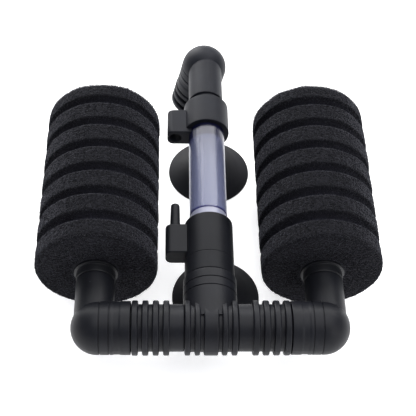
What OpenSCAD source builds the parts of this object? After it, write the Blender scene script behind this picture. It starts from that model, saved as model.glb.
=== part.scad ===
// Twin sponge filter for a pond or an aquarium.
// It lies on its suction cups: z = 0 is the plane that the cups stick to, +Z points away from it,
// +Y runs up the lift tube and +X along the cross bar. The origin is below the middle of the whole.
// Inside the modules the bar's middle is at zero, and place() moves the finished piece to its height.

/* [Layout] */
// Height of the bar and tube axes above the plane that the cups stick to
tube_h = 41; // [40:0.5:46]
// Distance from the tube's axis to a sponge's axis
sponge_x = 54.8; // [54:0.2:60]
// Distance from the bar's axis to the outlet arm's axis
outlet_y = 174.5; // [174:0.5:186]
// Lean of the outlet arm from square to the cups' plane
outlet_lean = 12; // [0:1:20]

/* [Sponges] */
// Outer radius of a sponge
sponge_r = 30; // [28:0.5:30]
// Length of a sponge
sponge_len = 100; // [100:1:110]
// Number of grooves round a sponge
sponge_grooves = 6; // [3:1:6]
// Width of a groove at the surface
groove_w = 4.2; // [3:0.1:5]
// Depth of a groove
groove_depth = 4.6; // [2:0.2:6]

/* [Bar, tee and elbows] */
// Outer radius of the grip ribs
rib_r = 12.8; // [12.4:0.1:13.2]
// Outer radius of the pipe between the ribs
pipe_r = 11; // [10.8:0.1:11.4]
// Radius of the water way through the bar
bore_r = 7.9; // [7:0.1:8]
// Radius of an elbow's ball end and of its socket
elbow_r = 12.5; // [12:0.1:13]
// Radius of an elbow's leg
leg_r = 9.3; // [9:0.1:9.6]
// Length of the leg below a sponge
arm_leg = 25.9; // [25:0.1:27]
// Length of the leg above the lift tube
outlet_leg = 30.5; // [30:0.5:33]

/* [Lift tube] */
// Outer radius of the clear tube
tube_r = 9.5; // [9.4:0.1:9.6]
// Outer radius of the tee's branch socket
branch_r = 12.8; // [12.4:0.1:13.2]
// Outer radius of the air inlet fitting
inlet_r = 12; // [11.8:0.1:12.4]
// Outer radius of the top collar
collar_r = 12; // [11.2:0.1:12]

/* [Air line] */
// Outer radius of the nipple that the air line is pushed on
nipple_r = 2.6; // [2.4:0.1:2.8]
// Radius of the guide hole that the air line runs through
guide_r = 3.25; // [3:0.05:3.4]

/* [Suction cups] */
// Radius of a cup's lip
cup_r = 22.8; // [20:0.2:23]
// Sideways place of the upper cup
upper_cup_x = 2.5; // [0:0.5:3]
// Sideways place of the lower cup
lower_cup_x = 4.5; // [0:0.5:5]

/* [Hidden] */
$fn = 96;

far = 1;                        // how far a cutter runs past the face that it opens
fit = 0.05;                     // radial gap of a push fit
joint_gap = 0.3;                // gap between end faces that turn on each other
mid_y = outlet_y / 2;           // the middle of the whole along Y, between the ribs at each end

// Ribbed connector: s = 0 is its face at the elbow, and s grows along its axis away from the elbow
spigot_r = 9.5;
spigot_len = 9.6;
rib_w = 3.2;
rib_pitch = 4.85;
rib_edge = 0.6;
arm_ribs = 4;
spout_ribs = 3;
plain_end = 24.4;               // where the connector meets the tee
inner_spigot = 8;

// Elbow: the leg's axis and the socket's axis cross at its own zero
socket_end = 17.6;
socket_depth = 10;
ball_shift = 2.1;
fine_lines = [3.3, 7.8];
line_w = 0.5;
line_depth = 0.4;
elbow_bore = 7.4;
leg_bore = 6.8;
leg_spigot_r = 8.3;
leg_spigot_len = 10;

// Tee
tee_end = 12.4;
tee_ribs = [[0, 3.4], [5, 7.7], [9.5, 12.4]];
tee_pipe_r = 11.2;
tee_socket = 8.2;
branch_end = 25.9;
branch_lines = [16.3, 20.9];
branch_socket_r = 10.4;
branch_floor = 10;

// Air inlet fitting and what it holds
inlet_y0 = branch_end + joint_gap;
inlet_y1 = 59.7;
inlet_mark = 36.3;
air_y = 44;
boss_out = -21.5;
boss_half = 5;
boss_corner = 3.2;
boss_root = -7.8;                // how far a boss runs into its round fitting
inlet_spigot_y = 11;
inlet_boss = [40, 57];
nipple_x = -16.7;
nipple_tip = 72.5;
nipple_stem_r = 2;
nipple_stem_len = 6;
nipple_tip_r = 1.8;
nipple_taper = 1.3;
air_r = 1.3;
jet_r = 2.3;
jet_x = -11;                     // where the jet starts in the fitting's wall
jet_tip = 52;

// Lift tube and top collar
tube_bore = 8.35;
tube_neck_r = 9.2;
tube_step = 65.1;
tube_y0 = 48.3;
collar_y0 = 121;
collar_y1 = 139.6;
collar_lip = 1.4;
collar_lip_r = 8.9;
collar_boss = [118.4, 134.5];
collar_boss_out = -21;

// Core of a sponge
core_r = 9.9;
core_neck_r = 9.4;
core_neck_y = 26;
flange_r = 10.6;
flange_y = 30.2;
flange_t = 0.8;
core_end = 107;
core_cap_t = 2;
core_plug_y = 102;
slot_rows = 5;
slot_columns = 8;
slot_len = 9;
slot_w = 2.4;
slot_gap = 3;
slot_y0 = 46;

// Sponge
sponge_y0 = 31.3;
sponge_bore_r = 10.25;
sponge_bore_end = 112;
sponge_edge = 3;
groove_floor = 2;
edge_rib = 10.6;

// Suction cups and their brackets, measured up from the plane that the cups stick to
cup_lip = 1;
cup_ring = 1.8;
cup_dome = [[16, 5.6], [9, 9.4], [5.2, 11]];
cup_hollow = [[0, 3.6], [10, 2.6]];
waist_r = 3.6;
waist_z = [13.2, 16.8];
knob_r = 5.2;
knob_edge_z = 19.5;
knob_top_r = 2.5;
knob_top = 23;
upper_cup_y = 128.5;
lower_cup_y = 43.5;
plate_half = 8.5;
plate_air = 0.1;
web_t = 4;
web_half = 6;
web_shift = 7;
web_top = 9.8;                  // how far below the tube's axis a web ends, inside its fitting

module place() { translate([0, -mid_y, tube_h]) children(); }
module right_arm() { place() translate([sponge_x, 0, 0]) children(); }
module left_arm() { place() translate([-sponge_x, 0, 0]) mirror([1, 0, 0]) children(); }

// A rod along +Y or +X between two places on its axis
module rod_y(r, y0, y1) { translate([0, y0, 0]) rotate([-90, 0, 0]) cylinder(r = r, h = y1 - y0); }
module rod_x(r, x0, x1) { translate([x0, 0, 0]) rotate([0, 90, 0]) cylinder(r = r, h = x1 - x0); }

// A ring cut along +Z: what a fine line takes from a round body of radius r
module line_cut(r, z) {
    translate([0, 0, z - line_w / 2]) rotate_extrude()
        translate([r - line_depth, 0]) square([line_depth + far, line_w]);
}

// A round rib along +Z with broken edges
module rib(r, z0, z1) {
    translate([0, 0, z0]) rotate_extrude() polygon([
        [0, 0], [r - rib_edge, 0], [r, rib_edge],
        [r, z1 - z0 - rib_edge], [r - rib_edge, z1 - z0], [0, z1 - z0]
    ]);
}

// The ribbed connector along +Z, from its elbow spigot to its other end
module ribbed(ribs, length, tail) {
    difference() {
        union() {
            translate([0, 0, -spigot_len]) cylinder(r = spigot_r, h = length + spigot_len + tail);
            cylinder(r = pipe_r, h = length);
            for (k = [0 : ribs - 1]) rib(rib_r, k * rib_pitch, k * rib_pitch + rib_w);
        }
        translate([0, 0, -spigot_len - far])
            cylinder(r = bore_r, h = length + spigot_len + tail + 2 * far);
    }
}

// An elbow with its leg along +Y and its socket along -X
module elbow(leg) {
    difference() {
        union() {
            translate([-ball_shift, 0, 0]) sphere(r = elbow_r);
            rod_x(elbow_r, -socket_end, -ball_shift);
            rod_y(leg_r, 0, leg);
            rod_y(leg_spigot_r, 0, leg + leg_spigot_len);
        }
        rotate([0, -90, 0]) for (z = fine_lines) line_cut(elbow_r, z);
        sphere(r = elbow_bore);
        rod_x(elbow_bore, -socket_end, 0);
        rod_x(spigot_r + fit, -socket_end - far, -socket_end + socket_depth);
        rod_y(leg_bore, 0, leg + leg_spigot_len + far);
    }
}

// The slotted tube that holds a sponge, closed by its cap
module core() {
    difference() {
        union() {
            rod_y(core_neck_r, core_neck_y, flange_y);
            rod_y(flange_r, flange_y, flange_y + flange_t);
            rod_y(core_r, flange_y + flange_t, core_end);
        }
        rod_y(leg_spigot_r + fit, core_neck_y - far, core_end + far);
        for (row = [0 : slot_rows - 1], turn = [0 : slot_columns - 1])
            rotate([0, turn * 360 / slot_columns, 0])
                translate([-slot_w / 2, slot_y0 + row * (slot_len + slot_gap), 0])
                    cube([slot_w, slot_len, core_r + far]);
    }
}

module core_cap() {
    rod_y(core_r, core_end, core_end + core_cap_t);
    rod_y(leg_spigot_r, core_plug_y, core_end);
}

// Half of a sponge's section: the grooves repeat between two whole end ribs
module sponge() {
    pitch = (sponge_len - 2 * edge_rib - groove_w) / (sponge_grooves - 1);
    slope = (groove_w - groove_floor) / 2;
    grooves = [for (k = [0 : sponge_grooves - 1], p = [0 : 3])
        [sponge_r - (p == 1 || p == 2 ? groove_depth : 0),
         edge_rib + k * pitch + [0, slope, slope + groove_floor, groove_w][p]]];
    near_edge = [for (a = [-90 : 15 : 0])
        [sponge_r - sponge_edge * (1 - cos(a)), sponge_edge * (1 + sin(a))]];
    far_edge = [for (a = [0 : 15 : 90])
        [sponge_r - sponge_edge * (1 - cos(a)), sponge_len - sponge_edge * (1 - sin(a))]];
    bore_end = sponge_bore_end - sponge_y0;
    translate([0, sponge_y0, 0]) rotate([-90, 0, 0]) rotate_extrude() polygon(concat(
        [[sponge_bore_r, 0]], near_edge, grooves, far_edge,
        [[0, sponge_len], [0, bore_end], [sponge_bore_r, bore_end]]
    ));
}

// A block on the -X side of a round fitting, along Y, with its two outer edges rounded
module side_boss(out, span) {
    length = span[1] - span[0];
    corner = out + boss_corner;
    translate([corner, span[0], -boss_half]) cube([boss_root - corner, length, 2 * boss_half]);
    translate([out, span[0], boss_corner - boss_half])
        cube([boss_corner, length, 2 * (boss_half - boss_corner)]);
    for (side = [-1, 1]) translate([corner, 0, side * (boss_half - boss_corner)])
        rod_y(boss_corner, span[0], span[1]);
}

// The plate that a cup's waist snaps into, and the web that carries it
module cup_bracket(x, y) {
    low = waist_z[0] + plate_air - tube_h;
    thick = waist_z[1] - waist_z[0] - 2 * plate_air;
    translate([x, y, 0]) difference() {
        union() {
            translate([0, 0, low]) cylinder(r = plate_half, h = thick);
            translate([-plate_half, 0, low]) cube([2 * plate_half, web_shift + web_t, thick]);
            translate([-web_half, web_shift, low]) cube([2 * web_half, web_t, -low - web_top]);
        }
        translate([0, 0, low - far]) cylinder(r = waist_r + fit, h = thick + 2 * far);
    }
}

module suction_cup(x, y) {
    neck = [[knob_r, waist_z[0]], [waist_r, waist_z[0]], [waist_r, waist_z[1]], [knob_r, waist_z[1]]];
    knob = [[knob_r, knob_edge_z], [knob_top_r, knob_top], [0, knob_top]];
    lip = [[cup_r - cup_ring, 0], [cup_r, 0], [cup_r, cup_lip]];
    translate([x, y, -tube_h]) rotate_extrude()
        polygon(concat(lip, cup_dome, neck, knob, cup_hollow));
}

module tee() {
    color("#2f3034") place() difference() {
        union() {
            rod_x(tee_pipe_r, -tee_end, tee_end);
            for (side = [-90, 90], span = tee_ribs)
                rotate([0, side, 0]) rib(rib_r, span[0], span[1]);
            rod_y(branch_r, 0, branch_end);
        }
        rotate([-90, 0, 0]) for (z = branch_lines) line_cut(branch_r, z);
        rod_x(bore_r, -tee_end - far, tee_end + far);
        for (side = [-90, 90]) rotate([0, side, 0])
            translate([0, 0, tee_end - tee_socket]) cylinder(r = spigot_r + fit, h = tee_socket + far);
        rod_y(bore_r, 0, branch_end);
        rod_y(branch_socket_r, branch_floor, branch_end + far);
    }
}

module connector() {
    color("#2f3034") translate([-socket_end - joint_gap, 0, 0]) rotate([0, -90, 0])
        ribbed(arm_ribs, plain_end, inner_spigot);
}
module left_connector() { left_arm() connector(); }
module right_connector() { right_arm() connector(); }

module left_elbow() { color("#2f3034") left_arm() elbow(arm_leg); }
module right_elbow() { color("#2f3034") right_arm() elbow(arm_leg); }
module left_core() { color("#26272a") left_arm() core(); }
module right_core() { color("#26272a") right_arm() core(); }
module left_core_cap() { color("#26272a") left_arm() core_cap(); }
module right_core_cap() { color("#26272a") right_arm() core_cap(); }
module left_sponge() { color("#1d1d1f") left_arm() sponge(); }
module right_sponge() { color("#1d1d1f") right_arm() sponge(); }

module air_inlet_fitting() {
    color("#313236") place() difference() {
        union() {
            rod_y(inlet_r, inlet_y0, inlet_y1);
            rod_y(branch_socket_r - fit, inlet_spigot_y, inlet_y0);
            side_boss(boss_out, inlet_boss);
            cup_bracket(lower_cup_x, lower_cup_y);
        }
        rotate([-90, 0, 0]) line_cut(inlet_r, inlet_mark);
        rod_y(bore_r, 0, inlet_y1 + far);
        rod_y(tube_neck_r + fit, tube_y0 - joint_gap, inlet_y1 + far);
        translate([nipple_x, 0, 0]) rod_y(air_r, air_y, inlet_boss[1]);
        translate([nipple_x, 0, 0])
            rod_y(nipple_stem_r + fit, inlet_boss[1] - nipple_stem_len - fit, inlet_boss[1] + far);
        translate([0, air_y, 0]) rod_x(air_r, nipple_x, 0);
        translate([0, air_y, 0]) rod_x(jet_r + fit, jet_x, 0);
    }
}

// The air nipple: a tapered tube with a rounded tip, on a stem pressed into the boss
module air_nipple() {
    color("#3a3c40") place() translate([nipple_x, 0, 0]) difference() {
        union() {
            rod_y(nipple_stem_r, inlet_boss[1] - nipple_stem_len, inlet_boss[1] + far);
            rod_y(nipple_r, inlet_boss[1] + fit, nipple_tip - nipple_taper);
            translate([0, nipple_tip - nipple_taper, 0]) rotate([-90, 0, 0])
                cylinder(r1 = nipple_r, r2 = nipple_tip_r, h = nipple_taper);
        }
        rod_y(air_r, 0, nipple_tip + far);
    }
}

// The jet that lets the air go up the middle of the water way
module air_jet() {
    color("#3a3c40") place() difference() {
        union() {
            translate([0, air_y, 0]) rod_x(jet_r, jet_x + fit, 0);
            translate([0, air_y, 0]) sphere(r = jet_r);
            rod_y(jet_r, air_y, jet_tip);
        }
        translate([0, air_y, 0]) rod_x(air_r, jet_x - far, 0);
        translate([0, air_y, 0]) sphere(r = air_r);
        rod_y(air_r, air_y, jet_tip + far);
    }
}

module lift_tube() {
    color("#a9acc8", 0.5) place() difference() {
        union() {
            rod_y(tube_neck_r, tube_y0, tube_step);
            rod_y(tube_r, tube_step, collar_y1 - collar_lip - fit);
        }
        rod_y(tube_bore, tube_y0 - far, collar_y1);
    }
}

module top_collar() {
    color("#3a3c42") place() difference() {
        union() {
            rod_y(collar_r, collar_y0, collar_y1);
            side_boss(collar_boss_out, collar_boss);
            cup_bracket(upper_cup_x, upper_cup_y);
        }
        rod_y(collar_lip_r, collar_boss[0] - far, collar_y1 + far);
        rod_y(tube_r + fit, collar_boss[0] - far, collar_y1 - collar_lip);
        translate([nipple_x, 0, 0]) rod_y(guide_r, collar_boss[0] - far, collar_boss[1] + far);
    }
}

module upper_suction_cup() { color("#26272a") place() suction_cup(upper_cup_x, upper_cup_y); }
module lower_suction_cup() { color("#26272a") place() suction_cup(lower_cup_x, lower_cup_y); }

// The outlet arm leans from -Z towards -X, and its leg points down the tube
module outlet_arm() {
    place() translate([0, outlet_y, 0]) rotate([0, outlet_lean - 90, 0])
        mirror([0, 1, 0]) children();
}
module outlet_elbow() { color("#3c3e44") outlet_arm() elbow(outlet_leg); }
module outlet_spout() {
    color("#3c3e44") outlet_arm() translate([-socket_end - joint_gap, 0, 0]) rotate([0, -90, 0])
        ribbed(spout_ribs, (spout_ribs - 1) * rib_pitch + rib_w, 0);
}

tee();
left_connector();
right_connector();
left_elbow();
left_core();
left_core_cap();
left_sponge();
right_elbow();
right_core();
right_core_cap();
right_sponge();
air_inlet_fitting();
air_nipple();
air_jet();
lift_tube();
top_collar();
upper_suction_cup();
lower_suction_cup();
outlet_elbow();
outlet_spout();
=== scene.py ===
import math

import bpy
import numpy as np
from mathutils import Matrix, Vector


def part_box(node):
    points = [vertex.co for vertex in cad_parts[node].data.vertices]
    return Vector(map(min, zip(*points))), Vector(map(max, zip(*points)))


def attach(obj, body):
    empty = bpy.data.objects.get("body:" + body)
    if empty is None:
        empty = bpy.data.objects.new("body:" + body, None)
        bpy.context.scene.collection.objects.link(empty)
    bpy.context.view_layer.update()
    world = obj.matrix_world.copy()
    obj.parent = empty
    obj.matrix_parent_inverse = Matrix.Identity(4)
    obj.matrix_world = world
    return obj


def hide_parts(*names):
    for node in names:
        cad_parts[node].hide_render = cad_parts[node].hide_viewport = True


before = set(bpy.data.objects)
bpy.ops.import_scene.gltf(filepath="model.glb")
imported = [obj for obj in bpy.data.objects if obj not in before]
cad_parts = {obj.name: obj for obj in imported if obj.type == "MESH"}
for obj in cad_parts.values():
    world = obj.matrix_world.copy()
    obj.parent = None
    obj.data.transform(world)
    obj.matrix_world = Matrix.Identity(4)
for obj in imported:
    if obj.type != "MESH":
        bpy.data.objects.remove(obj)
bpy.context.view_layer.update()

# A twin sponge filter lying on its suction cups. Shapes are worked out in millimetres in the bar's own
# axes (zero in the middle of the cross bar, +X along it, +Y up the lift tube, +Z away from the cups'
# plane) and BAR carries them to the frame's place in metres.

# ---------------------------------------------------------------- places, from the frame

MM = 0.001
RIB_R = 12.8             # grip ribs, the widest part of the bar
NECK_Y = 59.7            # top of the inlet fitting, where the tube's neck comes out
TUBE_STEP = 65.1         # shoulder of the lift tube
COLLAR_Y = 121.0         # lower end of the top collar
AIR_X = -16.7            # axis of the nipple and of the air line guide


def box_mm(node):
    """Lowest and highest corner of a CAD node in millimetres."""
    low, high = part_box(node)
    return np.array(low) / MM, np.array(high) / MM


tee_low, tee_high = box_mm("tee")
BAR_Y = tee_low[1] + RIB_R
BAR_Z = (tee_low[2] + tee_high[2]) / 2
BAR = Matrix.Diagonal((MM, MM, MM, 1)) @ Matrix.Translation((0, BAR_Y, BAR_Z))
core_low, core_high = box_mm("right_core")
SPONGE_X = (core_low[0] + core_high[0]) / 2
OUTLET_Y = -2 * BAR_Y
OUTLET_LEAN = math.radians(12)
CUP_LIFT = -BAR_Z        # the plane that the cups stick to

TURN_X = Matrix.Rotation(-math.pi / 2, 4, "X")          # carries a shape's own +Z to +Y
TO_LEFT = Matrix.Rotation(-math.pi / 2, 4, "Y")         # carries a shape's own +Z to -X
RIGHT = BAR @ Matrix.Translation((SPONGE_X, 0, 0))
LEFT = BAR @ Matrix.Translation((-SPONGE_X, 0, 0)) @ Matrix.Rotation(math.pi, 4, "Y")
OUTLET = (BAR @ Matrix.Translation((0, OUTLET_Y, 0))
          @ Matrix.Rotation(OUTLET_LEAN - math.pi / 2, 4, "Y") @ Matrix.Rotation(math.pi, 4, "X"))

# ---------------------------------------------------------------- shapes

ROUND = 5            # steps in a rounded corner
TURNS = 144          # steps round a moulding
SEAM_W = 0.25        # width of a moulding seam
SEAM_FROM = 6        # no seam within this radius
SHARP = math.radians(32)


def rounded(corners, closed):
    """Outline from corners (along, radius, rounding). A corner with a rounding becomes the arc that
    touches both of its sides: from the tangent points, centre + rounding * (cos a, sin a)."""
    places = np.array([c[:2] for c in corners], float)
    points = []
    count = len(corners)
    for i, corner in enumerate(corners):
        size = corner[2] if len(corner) > 2 else 0
        here = places[i]
        if size == 0 or (not closed and i in (0, count - 1)):
            points.append(here)
            continue
        back = places[i - 1] - here
        ahead = places[(i + 1) % count] - here
        back, ahead = back / np.linalg.norm(back), ahead / np.linalg.norm(ahead)
        half = math.acos(np.clip(back @ ahead, -1, 1)) / 2
        reach = size / math.tan(half)
        middle = here + (back + ahead) / np.linalg.norm(back + ahead) * size / math.sin(half)
        start, end = here + back * reach - middle, here + ahead * reach - middle
        t = np.linspace(0, 1, ROUND + 1)[:, None]
        swing = math.pi - 2 * half
        points.extend(middle + (np.sin((1 - t) * swing) * start + np.sin(t * swing) * end) / math.sin(swing))
    return np.array(points)


def arc(middle, radius, first, last, steps):
    """Corners on a circle: middle + radius * (cos a, sin a) with a from first to last in degrees."""
    a = np.radians(np.linspace(first, last, steps + 1))
    return [(middle[0] + radius * math.cos(v), middle[1] + radius * math.sin(v)) for v in a]


def seam_turns(count, seams, spread=0.018):
    """Angles of a full turn, evenly spaced, with three close steps on each side of every moulding seam."""
    even = np.arange(count) * 2 * math.pi / count
    extra = [s + k * spread for s in seams for k in (-2, -1, 0, 1, 2)]
    return np.unique(np.round(np.concatenate([even, np.mod(extra, 2 * math.pi)]), 6))


def mesh_of(name, points, faces):
    """A mesh object from points in metres, its faces turned outwards: the volume under them,
    the sum of a . (b x c) / 6 over their triangles, has to be positive."""
    volume = 0.0
    for quads in faces:
        for k in range(1, quads.shape[1] - 1):
            a, b, c = points[quads[:, 0]], points[quads[:, k]], points[quads[:, k + 1]]
            volume += float(np.einsum("ij,ij->i", a, np.cross(b, c)).sum())
    if volume < 0:
        faces = [f[:, ::-1] for f in faces]
    mesh = bpy.data.meshes.new(name)
    loops = np.concatenate([f.ravel() for f in faces])
    totals = np.concatenate([np.full(len(f), f.shape[1]) for f in faces])
    mesh.vertices.add(len(points))
    mesh.vertices.foreach_set("co", points.astype(np.float32).ravel())
    mesh.loops.add(len(loops))
    mesh.loops.foreach_set("vertex_index", loops.astype(np.int32))
    mesh.polygons.add(len(totals))
    mesh.polygons.foreach_set("loop_start", (np.cumsum(totals) - totals).astype(np.int32))
    mesh.update(calc_edges=True)
    mesh.validate()
    made = bpy.data.objects.new(name, mesh)
    bpy.context.scene.collection.objects.link(made)
    return made


def carried(points, place):
    """Points through a 4 by 4 matrix."""
    m = np.array(place)
    return points @ m[:3, :3].T + m[:3, 3]


def ring_faces(rows, columns, wrap_rows):
    """Quads of a grid of rings: ring i is row i, its points are columns, and each ring closes on itself."""
    last = rows if wrap_rows else rows - 1
    i, j = np.meshgrid(np.arange(last), np.arange(columns), indexing="ij")
    a = i * columns + j
    b = i * columns + (j + 1) % columns
    up = ((i + 1) % rows - i) * columns
    return np.stack([a, b, b + up, a + up], -1).reshape(-1, 4)


def stepped(line, step, closed):
    """The outline with its long stretches divided evenly, none longer than step."""
    starts = line if closed else line[:-1]
    ends = np.roll(line, -1, 0) if closed else line[1:]
    parts = []
    for a, b in zip(starts, ends):
        count = max(1, math.ceil(np.linalg.norm(b - a) / step))
        parts.append(a + (b - a) * np.arange(count)[:, None] / count)
    return np.concatenate(parts if closed else parts + [line[-1:]])


def lathe(name, corners, place, closed=False, seams=(0.0, math.pi), ridge=0.07, turns=TURNS, step=1.2):
    """A turned solid: outline (s, r) carried round its own +Z as (r cos t, r sin t, s). At a moulding seam
    r grows by ridge * exp(-(turn from the seam * r / SEAM_W)^2) where r is over SEAM_FROM. An open outline
    starts and ends on the axis."""
    line = stepped(rounded(corners, closed), step, closed)
    t = seam_turns(turns, seams)
    s, r = line[:, 0], line[:, 1]
    body = slice(None) if closed else slice(1, -1)
    r2 = r[body, None]
    away = [np.abs((t - seam + math.pi) % (2 * math.pi) - math.pi) for seam in seams]
    bump = sum((np.exp(-(a[None] * r2 / SEAM_W) ** 2) for a in away), np.zeros_like(r2 * t[None]))
    rr = r2 + ridge * bump * (r2 > SEAM_FROM)
    grid = np.stack([rr * np.cos(t), rr * np.sin(t), np.broadcast_to(s[body, None], rr.shape)], -1)
    rows, columns = rr.shape
    points = grid.reshape(-1, 3)
    faces = [ring_faces(rows, columns, closed)]
    if not closed:
        poles = np.array([[0, 0, s[0]], [0, 0, s[-1]]])
        j = np.arange(columns)
        first, last = len(points), len(points) + 1
        near = np.stack([np.full(columns, first), (j + 1) % columns, j], -1)
        end = (rows - 1) * columns
        far = np.stack([np.full(columns, last), end + j, end + (j + 1) % columns], -1)
        points = np.concatenate([points, poles])
        faces += [near, far]
    return mesh_of(name, carried(points, place), faces)


def prism(name, corners, low, high, place, edge=0.5):
    """A block: a closed outline (x, y) carried along its own +Z from low to high, with each end drawn in
    along a quarter circle of radius edge."""
    line = rounded(corners, True)
    ahead = np.roll(line, -1, 0) - np.roll(line, 1, 0)
    normal = np.stack([ahead[:, 1], -ahead[:, 0]], 1)
    normal /= np.linalg.norm(normal, axis=1, keepdims=True)
    area = np.sum(line[:, 0] * np.roll(line[:, 1], -1) - np.roll(line[:, 0], -1) * line[:, 1])
    normal *= 1 if area > 0 else -1
    a = np.linspace(0, math.pi / 2, ROUND)
    draw_in = np.concatenate([edge * (1 - np.sin(a)), edge * (1 - np.cos(a))])
    height = np.concatenate([low + edge * (1 - np.cos(a)), high - edge * (1 - np.sin(a))])
    grid = line[None] - normal[None] * draw_in[:, None, None]
    points = np.concatenate([grid, np.broadcast_to(height[:, None, None], grid.shape[:2] + (1,))], -1)
    rows, columns = points.shape[:2]
    j = np.arange(columns)
    faces = [ring_faces(rows, columns, False), j[None, ::-1], (j + (rows - 1) * columns)[None]]
    return mesh_of(name, carried(points.reshape(-1, 3), place), faces)


def applied(piece):
    """Replaces the mesh by what its modifiers make of it."""
    fresh = bpy.data.meshes.new_from_object(piece.evaluated_get(bpy.context.evaluated_depsgraph_get()))
    piece.modifiers.clear()
    piece.data = fresh


def combined(base, others, operation):
    """base with the other solids joined to it or cut out of it; the others are used up."""
    for other in others:
        tool = base.modifiers.new("join", "BOOLEAN")
        tool.operation = operation
        tool.solver = "EXACT"
        tool.object = other
        applied(base)
        bpy.data.objects.remove(other)
    return base


def fused(base, *others):
    return combined(base, others, "UNION")


def cut(base, *others):
    return combined(base, others, "DIFFERENCE")


def settled(piece, name, body, material, nodes, smooth=SHARP):
    """Gives a finished shape its name, body, finish and smooth shading, and hides the CAD nodes that it
    stands for. Weighted normals keep long flat faces flat up to their rounded edges."""
    piece.data.materials.clear()
    piece.data.materials.append(material)
    piece.data.shade_smooth()
    if smooth:
        piece.data.set_sharp_from_angle(angle=smooth)
        even = piece.modifiers.new("even", "WEIGHTED_NORMAL")
        even.keep_sharp = True
        applied(piece)
    piece.name = name
    piece.data.name = name
    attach(piece, body)
    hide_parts(*nodes)
    return piece


# ---------------------------------------------------------------- materials


def linear(code):
    """sRGB hex to linear red, green, blue and alpha: c / 12.92 up to 0.04045, above it
    ((c + 0.055) / 1.055)^2.4."""
    parts = [int(code[i:i + 2], 16) / 255 for i in (1, 3, 5)]
    return [c / 12.92 if c <= 0.04045 else ((c + 0.055) / 1.055) ** 2.4 for c in parts] + [1.0]


def add(tree, kind, links=None, values=None, **settings):
    """Adds a node, with its settings, its sockets' values and the links into it."""
    made = tree.nodes.new(kind)
    for key, value in settings.items():
        setattr(made, key, value)
    for key, value in (values or {}).items():
        made.inputs[key].default_value = value
    for key, source in (links or {}).items():
        tree.links.new(source, made.inputs[key])
    return made


def ramp(tree, source, stops):
    """A colour ramp whose stops are (place, hex colour)."""
    made = add(tree, "ShaderNodeValToRGB", {"Fac": source})
    band = made.color_ramp.elements
    for end, (place, code) in ((band[0], stops[0]), (band[1], stops[-1])):
        end.position = place
        end.color = linear(code)
    for place, code in stops[1:-1]:
        band.new(place).color = linear(code)
    return made


def new_material(name):
    """An empty material with its Principled shader and its Object coordinates."""
    made = bpy.data.materials.new(name)
    made.use_nodes = True
    tree = made.node_tree
    tree.nodes.clear()
    shader = add(tree, "ShaderNodeBsdfPrincipled")
    add(tree, "ShaderNodeOutputMaterial", {"Surface": shader.outputs["BSDF"]})
    return made, tree, shader, add(tree, "ShaderNodeTexCoord").outputs["Object"]


def per_metre(size_mm):
    """A texture's scale for a feature of that size."""
    return 1 / (size_mm * MM)


def moulded_plastic(name, low, high, rough, shine_level=0.35):
    """Injection moulded ABS from a spark-eroded tool: a fine even grain that breaks up the highlight,
    faint cloudy flow marks and a few specks of dust."""
    made, tree, shader, place = new_material(name)
    cloud = add(tree, "ShaderNodeTexNoise", {"Vector": place},
                {"Scale": per_metre(14), "Detail": 3, "Roughness": 0.6})
    # The tool's grain is about 0.1 mm: drawn at 0.45 mm, the finest that shows
    grain = add(tree, "ShaderNodeTexNoise", {"Vector": place},
                {"Scale": per_metre(0.45), "Detail": 2, "Roughness": 0.7})
    colour = ramp(tree, cloud.outputs["Fac"], [(0.3, low), (0.7, high)])
    # Dust, a speck of 0.4 mm to every 9 mm or so
    speck = add(tree, "ShaderNodeTexVoronoi", {"Vector": place}, {"Scale": per_metre(9)})
    dust = add(tree, "ShaderNodeMapRange", {"Value": speck.outputs["Distance"]},
               {"From Min": 0.015, "From Max": 0.03, "To Min": 0.18, "To Max": 0.0})
    mix = add(tree, "ShaderNodeMix", {0: dust.outputs["Result"], 6: colour.outputs["Color"]},
              {7: linear("#8b8d94")}, data_type="RGBA")
    tree.links.new(mix.outputs[2], shader.inputs["Base Color"])
    shine = add(tree, "ShaderNodeMapRange", {"Value": grain.outputs["Fac"]},
                {"From Min": 0.3, "From Max": 0.7, "To Min": rough - 0.05, "To Max": rough + 0.07})
    tree.links.new(shine.outputs["Result"], shader.inputs["Roughness"])
    bump = add(tree, "ShaderNodeBump", {"Height": grain.outputs["Fac"]},
               {"Strength": 0.25, "Distance": 0.06 * MM})
    tree.links.new(bump.outputs["Normal"], shader.inputs["Normal"])
    shader.inputs["IOR"].default_value = 1.5
    shader.inputs["Specular IOR Level"].default_value = shine_level
    return made


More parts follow.
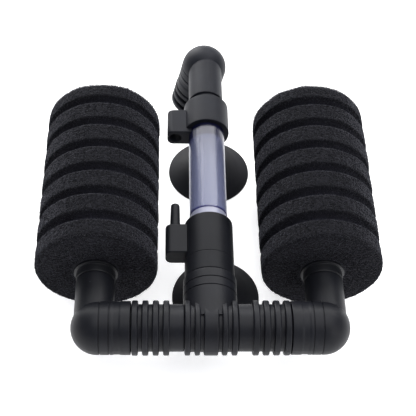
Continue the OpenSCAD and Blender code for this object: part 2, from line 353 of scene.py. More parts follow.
def open_cell_foam():
    """Reticulated polyurethane foam, cut with a profiled knife: matt black struts round open cells.
    The mesh brings three attributes: pore, 1 in the pits, which are painted darker than the struts as painted
    shade, groove, 1 on a groove's floor, which is painted paler as painted light, and a rim mark, up to 1 on
    the thin bars at the rims, which paints a pale rim light on them."""
    made, tree, shader, place = new_material("reticulated_polyurethane_foam")
    pore = add(tree, "ShaderNodeAttribute", attribute_name="pore")
    # Cell windows of 0.8 mm, the fine speckle between the larger pores
    cell = add(tree, "ShaderNodeTexVoronoi", {"Vector": place}, {"Scale": per_metre(0.8)},
               feature="DISTANCE_TO_EDGE")
    strut = add(tree, "ShaderNodeMapRange", {"Value": cell.outputs["Distance"]},
                {"From Min": 0.02, "From Max": 0.28, "To Min": 0.0, "To Max": 1.0})
    depth = add(tree, "ShaderNodeMath", {0: pore.outputs["Fac"], 1: strut.outputs["Result"]}, operation="ADD")
    # Painted shade: the pits and the middles of the cell windows are painted darker than the struts
    colour = ramp(tree, depth.outputs["Value"], [(0.1, "#15151b"), (0.6, "#0f0f14"), (1.0, "#08080b")])
    # Painted light: the grooves are painted paler, standing in for light that scatters through the foam into
    # them
    groove = add(tree, "ShaderNodeAttribute", attribute_name="groove")
    groove_painted_light = add(tree, "ShaderNodeMix", {0: groove.outputs["Fac"], 6: colour.outputs["Color"]},
                    {7: linear("#25252d")}, data_type="RGBA")
    # Painted light: thin bars at the rims are painted pale, standing in for the back light that catches them
    rim_painted_light = add(tree, "ShaderNodeAttribute", attribute_name="rim_painted_light")
    painted_rim_glow = add(tree, "ShaderNodeMix", {0: rim_painted_light.outputs["Fac"], 6: groove_painted_light.outputs[2]},
                  {7: linear("#d0d0d8")}, data_type="RGBA")
    tree.links.new(painted_rim_glow.outputs[2], shader.inputs["Base Color"])
    shader.inputs["Roughness"].default_value = 0.85
    shader.inputs["IOR"].default_value = 1.45
    shader.inputs["Specular IOR Level"].default_value = 0.15
    shader.inputs["Sheen Weight"].default_value = 0.22
    shader.inputs["Sheen Roughness"].default_value = 0.3
    shader.inputs["Sheen Tint"].default_value = linear("#b0b2c0")
    height = add(tree, "ShaderNodeMath", {0: strut.outputs["Result"]}, {1: -1.0}, operation="MULTIPLY")
    bump = add(tree, "ShaderNodeBump", {"Height": height.outputs["Value"]},
               {"Strength": 0.6, "Distance": 0.4 * MM})
    tree.links.new(bump.outputs["Normal"], shader.inputs["Normal"])
    return made


def clear_plastic():
    """Extruded acrylic tube with a violet tint: glossy, clear through the middle, deeper along its sides
    where the eye looks along the wall, with faint draw lines along its length."""
    made, tree, shader, place = new_material("extruded_acrylic_tint")
    # Along the tube from the inlet fitting to the collar: a pale neck, a thin dark ring of painted shade at
    # the shoulder where its step is seen through the wall, the plain wall painted darker upwards as painted
    # shade, and a deep band of painted shadow next to the collar, where no light comes through from behind
    height = add(tree, "ShaderNodeSeparateXYZ", {"Vector": place})
    run = add(tree, "ShaderNodeMapRange", {"Value": height.outputs["Y"]},
              {"From Min": (BAR_Y + NECK_Y) * MM, "From Max": (BAR_Y + COLLAR_Y) * MM})
    ring = (TUBE_STEP - NECK_Y) / (COLLAR_Y - NECK_Y)
    # Violet tint with painted shade: the dark shoulder ring, the darkening towards the collar and the deep
    # band next to it
    tint_and_painted_shade = ramp(tree, run.outputs["Result"],
                [(0.0, "#b8bac9"), (ring - 0.009, "#b0b2c6"), (ring - 0.005, "#26286e"),
                 (ring + 0.005, "#26286e"), (ring + 0.009, "#7e83a2"), (0.55, "#767b98"), (0.8, "#626783"),
                 (0.85, "#50557a"), (0.885, "#1b1d40")])
    tree.links.new(tint_and_painted_shade.outputs["Color"], shader.inputs["Base Color"])
    shader.inputs["Specular IOR Level"].default_value = 0.35
    shader.inputs["Roughness"].default_value = 0.25
    shader.inputs["IOR"].default_value = 1.49
    shader.inputs["Transmission Weight"].default_value = 0.6
    depth = add(tree, "ShaderNodeVolumeAbsorption", values={"Color": linear("#9aa1d6"), "Density": 300.0})
    out = next(n for n in tree.nodes if n.type == "OUTPUT_MATERIAL")
    tree.links.new(depth.outputs["Volume"], out.inputs["Volume"])
    stretch = add(tree, "ShaderNodeMapping", {"Vector": place}, {"Scale": (1, 0.02, 1)})
    lines = add(tree, "ShaderNodeTexNoise", {"Vector": stretch.outputs["Vector"]},
                {"Scale": per_metre(1.2), "Detail": 2})
    bump = add(tree, "ShaderNodeBump", {"Height": lines.outputs["Fac"]},
               {"Strength": 0.15, "Distance": 0.05 * MM})
    tree.links.new(bump.outputs["Normal"], shader.inputs["Normal"])
    return made


def moulded_rubber():
    """Compression moulded soft PVC: a dull even sheen with slight bloom in clouds and a fine skin."""
    made, tree, shader, place = new_material("moulded_soft_pvc")
    cloud = add(tree, "ShaderNodeTexNoise", {"Vector": place},
                {"Scale": per_metre(9), "Detail": 4, "Roughness": 0.65})
    colour = ramp(tree, cloud.outputs["Fac"], [(0.3, "#0a0b0f"), (0.75, "#101116")])
    tree.links.new(colour.outputs["Color"], shader.inputs["Base Color"])
    shine = add(tree, "ShaderNodeMapRange", {"Value": cloud.outputs["Fac"]}, {"To Min": 0.5, "To Max": 0.66})
    tree.links.new(shine.outputs["Result"], shader.inputs["Roughness"])
    skin = add(tree, "ShaderNodeTexNoise", {"Vector": place}, {"Scale": per_metre(0.7), "Detail": 2})
    bump = add(tree, "ShaderNodeBump", {"Height": skin.outputs["Fac"]},
               {"Strength": 0.12, "Distance": 0.05 * MM})
    tree.links.new(bump.outputs["Normal"], shader.inputs["Normal"])
    shader.inputs["IOR"].default_value = 1.52
    shader.inputs["Specular IOR Level"].default_value = 0.1
    return made


PLASTIC = moulded_plastic("moulded_abs_charcoal", "#0d0e12", "#131419", 0.45, 0.15)
FITTING = moulded_plastic("moulded_abs_fitting", "#0c0d11", "#121317", 0.46, 0.11)
# Painted light: a lighter, bluer copy of the charcoal ABS for the outlet elbow, spout and collar, standing in
# for the brighter light on the riser's top
OUTLET_PAINTED_LIGHT_PLASTIC = moulded_plastic("moulded_abs_painted_light_copy", "#131419", "#191b21", 0.48, 0.1)
CORE_PLASTIC = moulded_plastic("moulded_abs_core", "#0d0e11", "#121317", 0.4, 0.28)
FOAM = open_cell_foam()
TUBE = clear_plastic()
RUBBER = moulded_rubber()

# ---------------------------------------------------------------- pipes and elbows

BAR_SEAMS = (math.pi / 2, 3 * math.pi / 2)      # the mould's halves part along the bar's front and back

PUSH_FIT = 0.05          # a socket is this much wider than what goes into it
PIPE_R = 11.0            # ribbed pipes between their ribs
BORE_R = 7.9             # water way through the bar
SPIGOT_R = 9.5
SPIGOT_LEN = 9.6
SOCKET_R = SPIGOT_R + PUSH_FIT
RIB_W = 3.2
RIB_PITCH = 4.85
SOCKET_END = 17.6        # an elbow's socket, from the leg's axis to its mouth
SOCKET_DEPTH = 10
JOINT_GAP = 0.3          # between an elbow and the pipe that it turns on
BALL_R = 12.5
BALL_SHIFT = 2.1         # from the leg's axis to the ball's middle
LEG_R = 9.3
ARM_LEG = 25.9           # length of the leg under a sponge
OUTLET_LEG = 30.5        # and of the leg that stands on the lift tube
LEG_SPIGOT_R = 8.3
LEG_SPIGOT_LEN = 10.0
LEG_BORE = 6.8
ELBOW_BORE = 7.4
BRANCH_R = 12.8          # the tee's branch
BRANCH_END = 25.7
STUB_R = 10.35           # lower end of the inlet fitting, inside the branch


def line_corners(at, radius, width=0.5, depth=0.4):
    """The four corners of a fine turned line in an outline."""
    return [(at - width / 2, radius, 0.12), (at - width / 2 + 0.1, radius - depth, 0.1),
            (at + width / 2 - 0.1, radius - depth, 0.1), (at + width / 2, radius, 0.12)]


def rib_corners(start, end, root):
    """The four corners of a grip rib in an outline: drafted sides, a rounded crown and small root fillets."""
    return [(start + 0.05, root, 0.25), (start + 0.3, RIB_R, 0.55),
            (end - 0.3, RIB_R, 0.55), (end - 0.05, root, 0.25)]


def ribbed_pipe(name, ribs, length, tail, place):
    """A pipe with grip ribs at an even pitch, each with a rounded crown, and a spigot at one or both ends."""
    corners = [(-SPIGOT_LEN, BORE_R, 0.3), (-SPIGOT_LEN, SPIGOT_R, 0.6), (0, SPIGOT_R)]
    for k in range(ribs):
        corners += rib_corners(k * RIB_PITCH, k * RIB_PITCH + RIB_W, PIPE_R)
    corners[3:4] = [(0, PIPE_R, 0.3)]
    if tail:
        corners += [(length, PIPE_R, 0.4), (length, SPIGOT_R), (length + tail, SPIGOT_R, 0.6),
                    (length + tail, BORE_R, 0.3)]
    else:
        corners[-1:] = [(length, PIPE_R, 0.3), (length, BORE_R, 0.5)]
    return lathe(name, corners, place, closed=True, seams=BAR_SEAMS)


def elbow(name, leg, place):
    """A ball-ended socket with a leg standing out of the ball: two turned solids joined, then the socket,
    the water way and the leg's bore cut out of them."""
    across = place @ TO_LEFT
    along = place @ TURN_X
    ball = arc((BALL_SHIFT, 0), BALL_R, 180, 90, 24)
    ball[0] = (BALL_SHIFT - BALL_R, 0)
    shell = lathe(name, ball + line_corners(3.3, BALL_R) + line_corners(7.8, BALL_R)
                  + [(9.2, BALL_R, 2), (9.9, BALL_R - 0.22, 2), (12.4, BALL_R - 0.22, 2), (13.1, BALL_R, 2),
                     (SOCKET_END, BALL_R, 0.45), (SOCKET_END, 0)], across, seams=BAR_SEAMS)
    stem = lathe("stem", [(0, 0), (0, LEG_R), (leg, LEG_R, 0.5), (leg, LEG_SPIGOT_R, 0.2),
                          (leg + LEG_SPIGOT_LEN, LEG_SPIGOT_R, 0.5), (leg + LEG_SPIGOT_LEN, 0)], along,
                 seams=(0.0, math.pi))
    hollow = lathe("hollow", arc((0, 0), ELBOW_BORE, 180, 90, 12)
                   + [(SOCKET_END - SOCKET_DEPTH, ELBOW_BORE), (SOCKET_END - SOCKET_DEPTH, SOCKET_R),
                      (SOCKET_END + 1, SOCKET_R), (SOCKET_END + 1, 0)], across, seams=())
    top = leg + LEG_SPIGOT_LEN + 1
    bore = lathe("bore", [(0, 0), (0, LEG_BORE), (top, LEG_BORE), (top, 0)], along, seams=())
    return cut(fused(shell, stem), hollow, bore)


def connectors():
    """The two ribbed pipes between the tee and the elbows."""
    away = Matrix.Translation((-SOCKET_END - JOINT_GAP, 0, 0)) @ TO_LEFT
    for side, place in (("left", LEFT), ("right", RIGHT)):
        piece = ribbed_pipe("pipe", 4, 24.4, 8.0, place @ away)
        settled(piece, side + "_ribbed_pipe", "bar", PLASTIC, [side + "_connector"])


def elbows():
    """The elbow at each end of the bar, and the same elbow with a longer leg at the outlet."""
    for node, body, leg, place, finish in (("left_elbow", "left_arm", ARM_LEG, LEFT, PLASTIC),
                                           ("right_elbow", "right_arm", ARM_LEG, RIGHT, PLASTIC),
                                           ("outlet_elbow", "outlet", OUTLET_LEG, OUTLET, OUTLET_PAINTED_LIGHT_PLASTIC)):
        settled(elbow("elbow", leg, place), node + "_moulding", body, finish, [node])


def spout():
    """The short ribbed pipe that ends the outlet arm."""
    away = Matrix.Translation((-SOCKET_END - JOINT_GAP, 0, 0)) @ TO_LEFT
    piece = ribbed_pipe("spout", 3, 2 * RIB_PITCH + RIB_W, 0, OUTLET @ away)
    settled(piece, "outlet_ribbed_spout", "outlet", OUTLET_PAINTED_LIGHT_PLASTIC, ["outlet_spout"])


def tee():
    """The bar's middle with its grip ribs, joined to the branch socket, and bored three ways."""
    end = 12.4
    pipe = 11.2
    side = ([(0, RIB_R), (3.2, RIB_R, 0.6), (3.45, pipe, 0.25)] + rib_corners(4.95, 7.75, pipe)
            + rib_corners(9.45, end, pipe)[:3] + [(end, pipe, 0.3)])
    mirrored = [(-s, r, *more) for s, r, *more in side[::-1]][:-1]
    bar = lathe("bar", [(-end, 0)] + mirrored + side[1:] + [(end, 0)], BAR @ TO_LEFT, seams=BAR_SEAMS)
    along = BAR @ TURN_X
    branch = lathe("branch", [(0, 0), (0, BRANCH_R)] + line_corners(16.3, BRANCH_R)
                   + line_corners(20.9, BRANCH_R) + [(BRANCH_END, BRANCH_R, 0.4), (BRANCH_END, 0)], along)
    mouth = end + 1
    bottom = end - 8.2
    socket = STUB_R + PUSH_FIT
    ways = [lathe("way", [(-mouth, 0), (-mouth, SOCKET_R), (-bottom, SOCKET_R), (-bottom, BORE_R),
                          (bottom, BORE_R), (bottom, SOCKET_R), (mouth, SOCKET_R), (mouth, 0)],
                  BAR @ TO_LEFT, seams=()),
            lathe("way", [(0, 0), (0, BORE_R), (10, BORE_R), (10, socket), (27, socket), (27, 0)], along,
                  seams=())]
    settled(cut(fused(bar, branch), *ways), "tee_moulding", "bar", PLASTIC, ["tee"])


# ---------------------------------------------------------------- riser


LOWER_CUP = (4.5, 43.5)      # the cups' axes, to one side of the riser
UPPER_CUP = (2.5, 128.5)
WAIST_R = 3.6                # the part of a cup that a bracket's plate holds
SLEEVE_R = 12                # the inlet fitting and the collar
TUBE_R = 9.5
NECK_R = 9.2
TUBE_BORE_R = 8.35
TUBE_START = 48.3
TUBE_END = 138.15
COLLAR_END = 139.6
NIPPLE_BORE_R = 1.3
GUIDE_R = 3.25               # the hole in the collar that the air line passes


def side_boss(out, span, place):
    """A block on the fitting's -X side with its two outer edges rounded, along the tube."""
    corners = [(out, -5, 3.2), (-8, -5), (-8, 5), (out, 5, 3.2)]
    flipped = [(x, -z, *more) for x, z, *more in corners]
    return prism("boss", flipped, span[0], span[1], place @ TURN_X, edge=0.6)


def bracket(x, y, reach):
    """The plate that holds a cup by its waist, and the web that carries it up to reach below the axis."""
    low, high = CUP_LIFT + 13.3, CUP_LIFT + 16.7
    place = BAR @ Matrix.Translation((x, y, 0))
    ring = arc((0, 0), 8.5, 180, 360, 24)
    plate = prism("plate", ring + [(8.5, 11, 0.8), (-8.5, 11, 0.8)], low, high, place, edge=0.5)
    web = prism("web", [(-6, 7, 0.6), (6, 7, 0.6), (6, 11, 0.6), (-6, 11, 0.6)], low + 0.6, -reach, place,
                edge=0.2)
    waist = WAIST_R + PUSH_FIT
    hole = lathe("hole", [(low - 1, 0), (low - 1, waist), (high + 1, waist), (high + 1, 0)], place, seams=())
    return cut(fused(plate, web), hole)


def inlet_fitting():
    """The sleeve between tee and tube: a turned body, the air boss and the lower cup's bracket."""
    along = BAR @ TURN_X
    body = lathe("body", [(11, 0), (11, STUB_R, 0.5), (26.35, STUB_R), (26.35, SLEEVE_R, 0.4)]
                 + line_corners(36.3, SLEEVE_R, 0.4, 0.15) + [(NECK_Y, SLEEVE_R, 0.9), (NECK_Y, 0)], along)
    socket = NECK_R + PUSH_FIT
    ways = [lathe("way", [(10, 0), (10, BORE_R), (48, BORE_R), (48, socket), (61, socket), (61, 0)], along,
                  seams=()),
            lathe("way", [(44, 0), (44, NIPPLE_BORE_R), (51, NIPPLE_BORE_R), (51, 2.05), (58, 2.05), (58, 0)],
                  BAR @ Matrix.Translation((AIR_X, 0, 0)) @ TURN_X, seams=())]
    whole = fused(body, side_boss(-21.5, (40, 57), BAR), bracket(*LOWER_CUP, 9.9))
    settled(cut(whole, *ways), "air_inlet_moulding", "riser", FITTING,
            ["air_inlet_fitting"])


def nipple():
    """A tapered tube with a rounded tip, on a stem in the boss."""
    place = BAR @ Matrix.Translation((AIR_X, 0, 0)) @ TURN_X
    corners = [(51, NIPPLE_BORE_R), (51, 2.0), (57.05, 2.0), (57.05, 2.6, 0.2), (72.5, 2.25, 1.0),
               (72.5, NIPPLE_BORE_R, 0.2)]
    piece = lathe("nipple", corners, place, closed=True, turns=64, seams=())
    settled(piece, "air_nipple_moulding", "riser", FITTING, ["air_nipple"])


def clear_tube():
    """The lift tube, a plain wall with its necked lower end."""
    corners = [(TUBE_START, TUBE_BORE_R), (TUBE_START, NECK_R, 0.2), (TUBE_STEP - 0.4, NECK_R, 0.3),
               (TUBE_STEP + 0.1, TUBE_R, 0.3), (TUBE_END, TUBE_R, 0.2), (TUBE_END, TUBE_BORE_R)]
    piece = lathe("tube", corners, BAR @ TURN_X, closed=True, seams=(), turns=192)
    settled(piece, "clear_lift_tube", "riser", TUBE, ["lift_tube"])


def collar():
    """The sleeve at the tube's top, its air line guide and the upper cup's bracket."""
    along = BAR @ TURN_X
    body = lathe("body", [(COLLAR_Y, 0), (COLLAR_Y, SLEEVE_R, 0.45), (COLLAR_END, SLEEVE_R, 0.6),
                          (COLLAR_END, 0)], along)
    socket = TUBE_R + PUSH_FIT
    ways = [lathe("way", [(110, 0), (110, socket), (138.2, socket), (138.2, 8.9), (141, 8.9), (141, 0)],
                  along, seams=()),
            lathe("way", [(110, 0), (110, GUIDE_R), (140, GUIDE_R), (140, 0)],
                  BAR @ Matrix.Translation((AIR_X, 0, 0)) @ TURN_X, seams=(), turns=64)]
    whole = fused(body, side_boss(-21, (118.4, 134.5), BAR), bracket(*UPPER_CUP, 9.5))
    settled(cut(whole, *ways), "top_collar_moulding", "riser", OUTLET_PAINTED_LIGHT_PLASTIC,
            ["top_collar"])


def suction_cup(name, node, x, y):
    """A cup turned from one outline: a thin lip, a dome, a waist for the plate and a knob above it."""
    hollow = [(3.6, 0), (2.6, 10, 3), (0, 21.0)]
    dome = [(0, 22.8, 0.3), (1.0, 22.6, 0.3), (5.2, 16.2, 6), (9.3, 9.2, 4), (11.2, 5.3, 1.5),
            (13.2, 5.2, 0.4)]
    waist = [(13.2, WAIST_R, 0.2), (16.8, WAIST_R, 0.2)]
    knob = [(16.8, 5.2, 0.4), (20, 5.0, 1.5), (23, 2.4, 1.5), (23, 0)]
    place = BAR @ Matrix.Translation((x, y, CUP_LIFT))
    piece = lathe(name, hollow + dome + waist + knob, place, seams=(), turns=192)
    settled(piece, name, "riser", RUBBER, [node])


# ---------------------------------------------------------------- cores and sponges


CORE_R = 9.9
CORE_BORE_R = 8.35
CORE_END = 107
CORE_FLANGE_R = 10.6
SLOT_ROWS = 5
SLOT_TURNS = 8
SLOT_START = 46
SLOT_PITCH = 12
SLOT_LEN = 9
SLOT_W = 2.4


def core(side, place):
    """The strainer tube: a neck, a flange, a long tube with rows of slots cut through it, and its cap."""
    along = place @ TURN_X
    corners = [(26, CORE_BORE_R), (26, 9.4, 0.25), (30.2, 9.4, 0.15), (30.2, CORE_FLANGE_R, 0.12),
               (31, CORE_FLANGE_R, 0.12), (31, CORE_R, 0.1), (CORE_END, CORE_R, 0.3), (CORE_END, CORE_BORE_R)]
    tube = lathe("core", corners, along, closed=True)
    slots = []
    for row in range(SLOT_ROWS):
        for turn in range(SLOT_TURNS):
            low = SLOT_START + row * SLOT_PITCH
            high = low + SLOT_LEN
            half = SLOT_W / 2
            box = [(-half, low, 0.9), (half, low, 0.9), (half, high, 0.9), (-half, high, 0.9)]
            spin = place @ Matrix.Rotation(2 * math.pi * turn / SLOT_TURNS, 4, "Y")
            slots.append(prism("slot", box, 5, 12, spin, edge=0.1))
    bpy.ops.object.select_all(action="DESELECT")
    for s in slots:
        s.select_set(True)
    bpy.context.view_layer.objects.active = slots[0]
    bpy.ops.object.join()
    settled(cut(tube, slots[0]), side + "_strainer_tube", side + "_arm", CORE_PLASTIC,
            [side + "_core"])
    cap = [(102, 0), (102, 8.3, 0.4), (CORE_END, 8.3), (CORE_END, CORE_R, 0.2), (109, CORE_R, 0.5), (109, 0)]
    settled(lathe("cap", cap, along), side + "_strainer_cap", side + "_arm", CORE_PLASTIC,
            [side + "_core_cap"])


def hashed(cells, salt):
    """A number from 0 to 1 for each whole-number cell, by mixing its three counts."""
    with np.errstate(over="ignore"):
        c = cells.astype(np.int64).astype(np.uint32) * np.array([73856093, 19349663, 83492791], np.uint32)
        h = c[..., 0] ^ c[..., 1] ^ c[..., 2]
        h = (h ^ np.uint32(salt * 2654435761 & 0xFFFFFFFF)) * np.uint32(2246822519)
        h ^= h >> np.uint32(13)
        h = h * np.uint32(3266489917)
        h ^= h >> np.uint32(16)
    return h.astype(float) / 4294967295.0


def pores(points, size):
    """Open cells: from 0 on the strut between two cells to 1 inside a cell, by the difference between the
    distances to the nearest and the second nearest centre, with one jittered centre per cube of that size."""
    scaled = points / size
    base = np.floor(scaled)
    first = np.full(len(points), 9.0)
    second = np.full(len(points), 9.0)
    for dx in (-1, 0, 1):
        for dy in (-1, 0, 1):
            for dz in (-1, 0, 1):
                cell = base + (dx, dy, dz)
                jitter = np.stack([hashed(cell, k) for k in (1, 2, 3)], -1)
                gap = np.linalg.norm(cell + 0.1 + 0.8 * jitter - scaled, axis=1)
                second = np.minimum(second, np.maximum(first, gap))
                first = np.minimum(first, gap)
    return np.clip((second - first) / 0.45, 0, 1)


def swell(points, size):
    """Smooth noise from 0 to 1: corner values of cubes of that size, blended by 3 t^2 - 2 t^3."""
    scaled = points / size
    base = np.floor(scaled)
    t = scaled - base
    t = t * t * (3 - 2 * t)
    total = np.zeros(len(points))
    for dx in (0, 1):
        for dy in (0, 1):
            for dz in (0, 1):
                weight = np.prod([t[:, i] if d else 1 - t[:, i] for i, d in enumerate((dx, dy, dz))], axis=0)
                total += weight * hashed(base + (dx, dy, dz), 7)
    return total


def even_line(line, step_of):
    """The outline measured again at steps that step_of gives for each of its stretches."""
    gaps = np.linalg.norm(np.diff(line, axis=0), axis=1)
    run = np.concatenate([[0], np.cumsum(gaps)])
    marks = [0.0]
    while marks[-1] < run[-1]:
        r = np.interp(marks[-1], run, line[:, 1])
        s = np.interp(marks[-1], run, line[:, 0])
        marks.append(marks[-1] + step_of(s, r))
    marks = np.array(marks) * run[-1] / marks[-1]
    return np.stack([np.interp(marks, run, line[:, 0]), np.interp(marks, run, line[:, 1])], 1)


SPONGE_R = 30.0
SPONGE_LEN = 100.0
SPONGE_START = 31.3
SPONGE_BORE_R = 10.3
SPONGE_BORE_LEN = 80.7
OPEN_R = 10.6            # where the pits of the near end start
GROOVES = 6
GROOVE_W = 4.7
GROOVE_FLOOR = 1.5
GROOVE_DEPTH = 4.6
EDGE_RIB = 10.4          # width of the first and the last rib
FOAM_STEP = 0.42         # grid step along the outline
BORE_STEP = 2.0          # and inside the bore, where nothing shows
FOAM_TURNS = 440
PORE = 1.15              # size of an open cell
PIT = 0.6                # its depth
SWELL = 0.5              # how far the surface wanders, over SWELL_SIZE
SWELL_SIZE = 9.0
RIMS = ((0.0, 0.5, 1.3), (SPONGE_LEN, 1.5, 2.6))     # each rim: its place, its sink and the sink's reach
# Strength of the rim struts' painted light, a pale colour that stands in for back light
RIM_PALE = 0.3
STRUTS = 22000
RIM_STRUTS = 6500


def struts(points, push, weight, sink, count, reach, thick, seed):
    """Foam struts: three-sided bars, reach long at most and thick across, set on points drawn by weight,
    lying along the surface and tilted by up to 0.3 of their length. They bridge the open cells, and where
    the solid is sunk they fill the sink, sink * u^0.6 deep with u from 0 to 1, so thinner outwards."""
    rng = np.random.default_rng(seed)
    pick = rng.choice(len(points), count, p=weight / weight.sum())
    out = push[pick]
    along = rng.normal(size=(count, 3))
    along -= np.sum(along * out, 1, keepdims=True) * out
    along /= np.linalg.norm(along, axis=1, keepdims=True)
    side = np.cross(out, along)
    half = reach / 2 * (along * rng.uniform(0.7, 1, (count, 1)) + out * rng.uniform(-0.34, 0.34, (count, 1)))
    depth = rng.uniform(0.05, 0.3, count) + sink[pick] * rng.uniform(0, 1, count) ** 0.6
    middle = points[pick] - out * depth[:, None]
    ends = []
    for base in (middle - half, middle + half):
        for turn in (0, 2 * math.pi / 3, 4 * math.pi / 3):
            ends.append(base + thick / 2 * (math.cos(turn) * out + math.sin(turn) * side))
    ends = np.stack(ends, 1).reshape(-1, 3)
    start = 6 * np.arange(count)[:, None]
    walls = np.concatenate([start + [[k, (k + 1) % 3, 3 + (k + 1) % 3, 3 + k]] for k in range(3)])
    caps = np.concatenate([start + [[0, 2, 1]], start + [[3, 4, 5]]])
    return ends, [walls, caps], pick


def foam_step(s, r):
    """Grid step at (s, r) of the outline: a coarse one on the bore's wall and most of its end."""
    return BORE_STEP if r < 10.5 and 1 < s < 82 else FOAM_STEP


def turned(line, t):
    """An outline (s, r) turned round +Z: (r cos t, r sin t, s) at each of its points and each turn t."""
    s, r = line[:, :1], line[:, 1:]
    flat = np.broadcast_to(s, (len(line), len(t)))
    return np.stack([r * np.cos(t), r * np.sin(t), flat], -1).reshape(-1, 3)


def sponge(side, place):
    """A ribbed foam cylinder: its outline (s, r) turned to (r cos t, r sin t, s) on a fine grid, each point
    then sunk along the outline's normal by PIT * pore + SWELL * swell, so that the struts stay at the
    knife's cut. At the two rims, where light comes through, it is sunk by
    sink * exp(-(distance from the rim / reach)^2) more."""
    pitch = (SPONGE_LEN - 2 * EDGE_RIB - GROOVE_W) / (GROOVES - 1)
    slope = (GROOVE_W - GROOVE_FLOOR) / 2
    corners = [(SPONGE_BORE_LEN, 0), (SPONGE_BORE_LEN, SPONGE_BORE_R, 0.6), (0, SPONGE_BORE_R, 0.8),
               (0, SPONGE_R, 1.6)]
    for k in range(GROOVES):
        s = EDGE_RIB + k * pitch
        corners += [(s, SPONGE_R, 1.4), (s + slope, SPONGE_R - GROOVE_DEPTH, 0.8),
                    (s + slope + GROOVE_FLOOR, SPONGE_R - GROOVE_DEPTH, 0.8), (s + GROOVE_W, SPONGE_R, 1.4)]
    corners += [(SPONGE_LEN, SPONGE_R, 2.6), (SPONGE_LEN, 0)]
    line = even_line(rounded(corners, False), foam_step)
    ahead = np.gradient(line, axis=0)
    normal = np.stack([-ahead[:, 1], ahead[:, 0]], 1)
    normal /= np.linalg.norm(normal, axis=1, keepdims=True)
    t = np.arange(FOAM_TURNS) * 2 * math.pi / FOAM_TURNS
    flat = turned(line[1:-1], t)
    push = turned(normal[1:-1], t)
    s, r = line[1:-1, 0], line[1:-1, 1]
    rows, columns = len(s), len(t)
    apart = flat + (40 if side == "left" else 140, 0, 0)     # so that the two sponges differ
    pore = pores(apart, PORE)
    # The bore stays smooth: the pits start at OPEN_R, and reach the middle only on the closed far end
    free = np.maximum(np.clip((r - OPEN_R) / 1.5, 0, 1), s > SPONGE_LEN - 5)
    free = np.repeat(free, columns)
    crest = flat - push * (free * SWELL * swell(apart, SWELL_SIZE))[:, None]
    sink = sum(deep * np.exp(-(np.hypot(s - end, r - SPONGE_R) / reach) ** 2) for end, deep, reach in RIMS)
    sink = np.repeat(sink, columns)
    points = crest - push * (free * PIT * pore + sink)[:, None]
    j = np.arange(columns)
    poles = np.array([[0, 0, line[0, 0]], [0, 0, line[-1, 0] - 0.3]])
    count = len(points)
    end = (rows - 1) * columns
    faces = [ring_faces(rows, columns, False),
             np.stack([np.full(columns, count), (j + 1) % columns, j], -1),
             np.stack([np.full(columns, count + 1), end + j, end + (j + 1) % columns], -1)]
    even = free * (0.2 + pore) * np.repeat(r, columns)
    turn = 7 if side == "left" else 17
    whole = np.concatenate([points, poles])
    # Painted light: the rim struts carry a mark that paints them pale, standing in for back light
    rim_painted_light = [np.zeros(len(whole))]
    for weight, number, length, thick, pale, seed in (
            (even * np.exp(-3 * sink), STRUTS, 1.4, 0.18, 0, turn),
            (even * sink, RIM_STRUTS, 0.8, 0.15, RIM_PALE, turn + 1)):
        ends, prisms, pick = struts(crest, push, weight, sink, number, length, thick, seed)
        faces += [f + len(whole) for f in prisms]
        whole = np.concatenate([whole, ends])
        glow = pale * (sink[pick] / RIMS[1][1]) * hashed(flat[pick] / 0.2, 9)
        rim_painted_light.append(np.repeat(glow, len(ends) // number))
    where = place @ Matrix.Translation((0, SPONGE_START, 0)) @ TURN_X
    piece = mesh_of("sponge", carried(whole, where), faces)
    wall = (s > 3) * (s < SPONGE_LEN - 3)
    # Groove mask for painted light: the foam's colour is painted paler in the grooves
    hollow = np.repeat(np.clip((SPONGE_R - 0.6 - r) / GROOVE_DEPTH, 0, 1) * wall, columns)
    rest = np.zeros(len(whole) - count)
    # pore carries painted shade for the pits, groove painted light for the grooves, and the rim values
    # painted light for the rim struts
    for mark, values in (("pore", np.append(pore * free, rest)), ("groove", np.append(hollow * free, rest)),
                         ("rim_painted_light", np.concatenate(rim_painted_light))):
        made = piece.data.attributes.new(mark, "FLOAT", "POINT")
        made.data.foreach_set("value", values.astype(np.float32))
    settled(piece, side + "_foam_sponge", side + "_foam", FOAM, [side + "_sponge"],
            smooth=None)


# ---------------------------------------------------------------- the set

connectors()
elbows()
spout()
tee()
inlet_fitting()
nipple()
clear_tube()
collar()
suction_cup("upper_cup_moulding", "upper_suction_cup", *UPPER_CUP)
suction_cup("lower_cup_moulding", "lower_suction_cup", *LOWER_CUP)
for side, place in (("left", LEFT), ("right", RIGHT)):
    core(side, place)
    sponge(side, place)
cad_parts["air_jet"].data.materials.clear()
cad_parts["air_jet"].data.materials.append(CORE_PLASTIC)


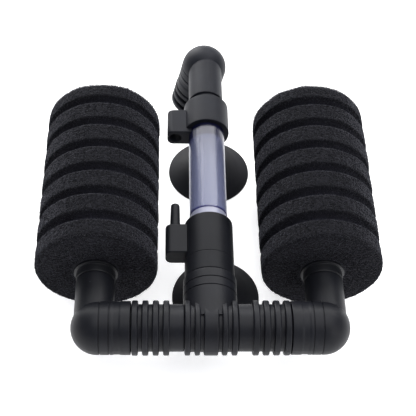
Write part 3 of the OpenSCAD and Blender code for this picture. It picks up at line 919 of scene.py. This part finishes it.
def floor():
    """A pale studio table that sweeps up at its edge: flat to 2.4 m, then a quarter circle of 0.8 m, turned
    about +Z as (r cos t, r sin t, z)."""
    rows, columns = 13, 96
    bend = np.linspace(0, math.pi / 2, rows)
    j = np.arange(columns)
    sweep = np.stack([0.8 * (1 - np.cos(bend)), 2.4 + 0.8 * np.sin(bend)], 1)
    points = np.concatenate([turned(sweep, j * 2 * math.pi / columns), [[0, 0, 0]]])
    fan = np.stack([np.full(columns, rows * columns), (j + 1) % columns, j], -1)
    made = mesh_of("table", points, [ring_faces(rows, columns, False), fan])
    made.data.flip_normals()
    made.data.shade_smooth()
    material, tree, shader, place = new_material("matt_laminate_white")
    cloud = add(tree, "ShaderNodeTexNoise", {"Vector": place}, {"Scale": per_metre(60), "Detail": 2})
    colour = ramp(tree, cloud.outputs["Fac"], [(0.3, "#f4f4f5"), (0.7, "#f8f8f8")])
    tree.links.new(colour.outputs["Color"], shader.inputs["Base Color"])
    shader.inputs["Roughness"].default_value = 0.9
    shader.inputs["Emission Color"].default_value = linear("#ffffff")
    shader.inputs["Emission Strength"].default_value = 0.48
    made.data.materials.append(material)


def softbox(name, place, aim, size, power):
    """A rectangular area light that faces aim."""
    data = bpy.data.lights.new(name, "AREA")
    data.shape = "RECTANGLE"
    data.size, data.size_y = size
    data.energy = power
    made = bpy.data.objects.new(name, data)
    bpy.context.scene.collection.objects.link(made)
    made.location = place
    toward = Matrix.Translation(place).inverted() @ Matrix.Translation(aim)
    made.rotation_euler = toward.translation.to_track_quat("-Z", "Y").to_euler()


def lights():
    """A large softbox overhead and two behind, a weaker one in front, and a dim even surround."""
    softbox("key_softbox", (0.15, 1.05, 1.0), (0, 0.05, 0), (2.2, 0.7), 32)
    softbox("top_softbox", (0.3, 0.0, 1.6), (0, 0, 0), (1.6, 1.6), 27)
    softbox("back_softbox", (-0.6, 1.2, 0.4), (0, 0, 0), (0.8, 0.6), 15)
    softbox("front_softbox", (0.9, -0.9, 0.7), (0, 0, 0), (0.8, 0.8), 6)
    world = bpy.data.worlds.new("studio")
    bpy.context.scene.world = world
    world.use_nodes = True
    world.node_tree.nodes["Background"].inputs["Color"].default_value = linear("#eef1ff")
    world.node_tree.nodes["Background"].inputs["Strength"].default_value = 0.3
    bpy.context.scene.view_settings.view_transform = "Standard"


def camera():
    """The camera looks down at the filter from its bar's side: its turn, tilt and roll in degrees."""
    turn, tilt, roll = (math.radians(a) for a in (-3.138, 51.993, 2.666))
    data = bpy.data.cameras.new("camera")
    data.lens = 88.82
    data.sensor_width = 36
    made = bpy.data.objects.new("camera", data)
    bpy.context.scene.collection.objects.link(made)
    place = Matrix.Translation((-0.017627, -0.249832 + BAR_Y * MM, 0.410922 + BAR_Z * MM))
    made.matrix_world = (place @ Matrix.Rotation(turn, 4, "Z") @ Matrix.Rotation(math.pi / 2 - tilt, 4, "X")
                         @ Matrix.Rotation(roll, 4, "Z"))
    bpy.context.scene.camera = made


floor()
lights()
camera()
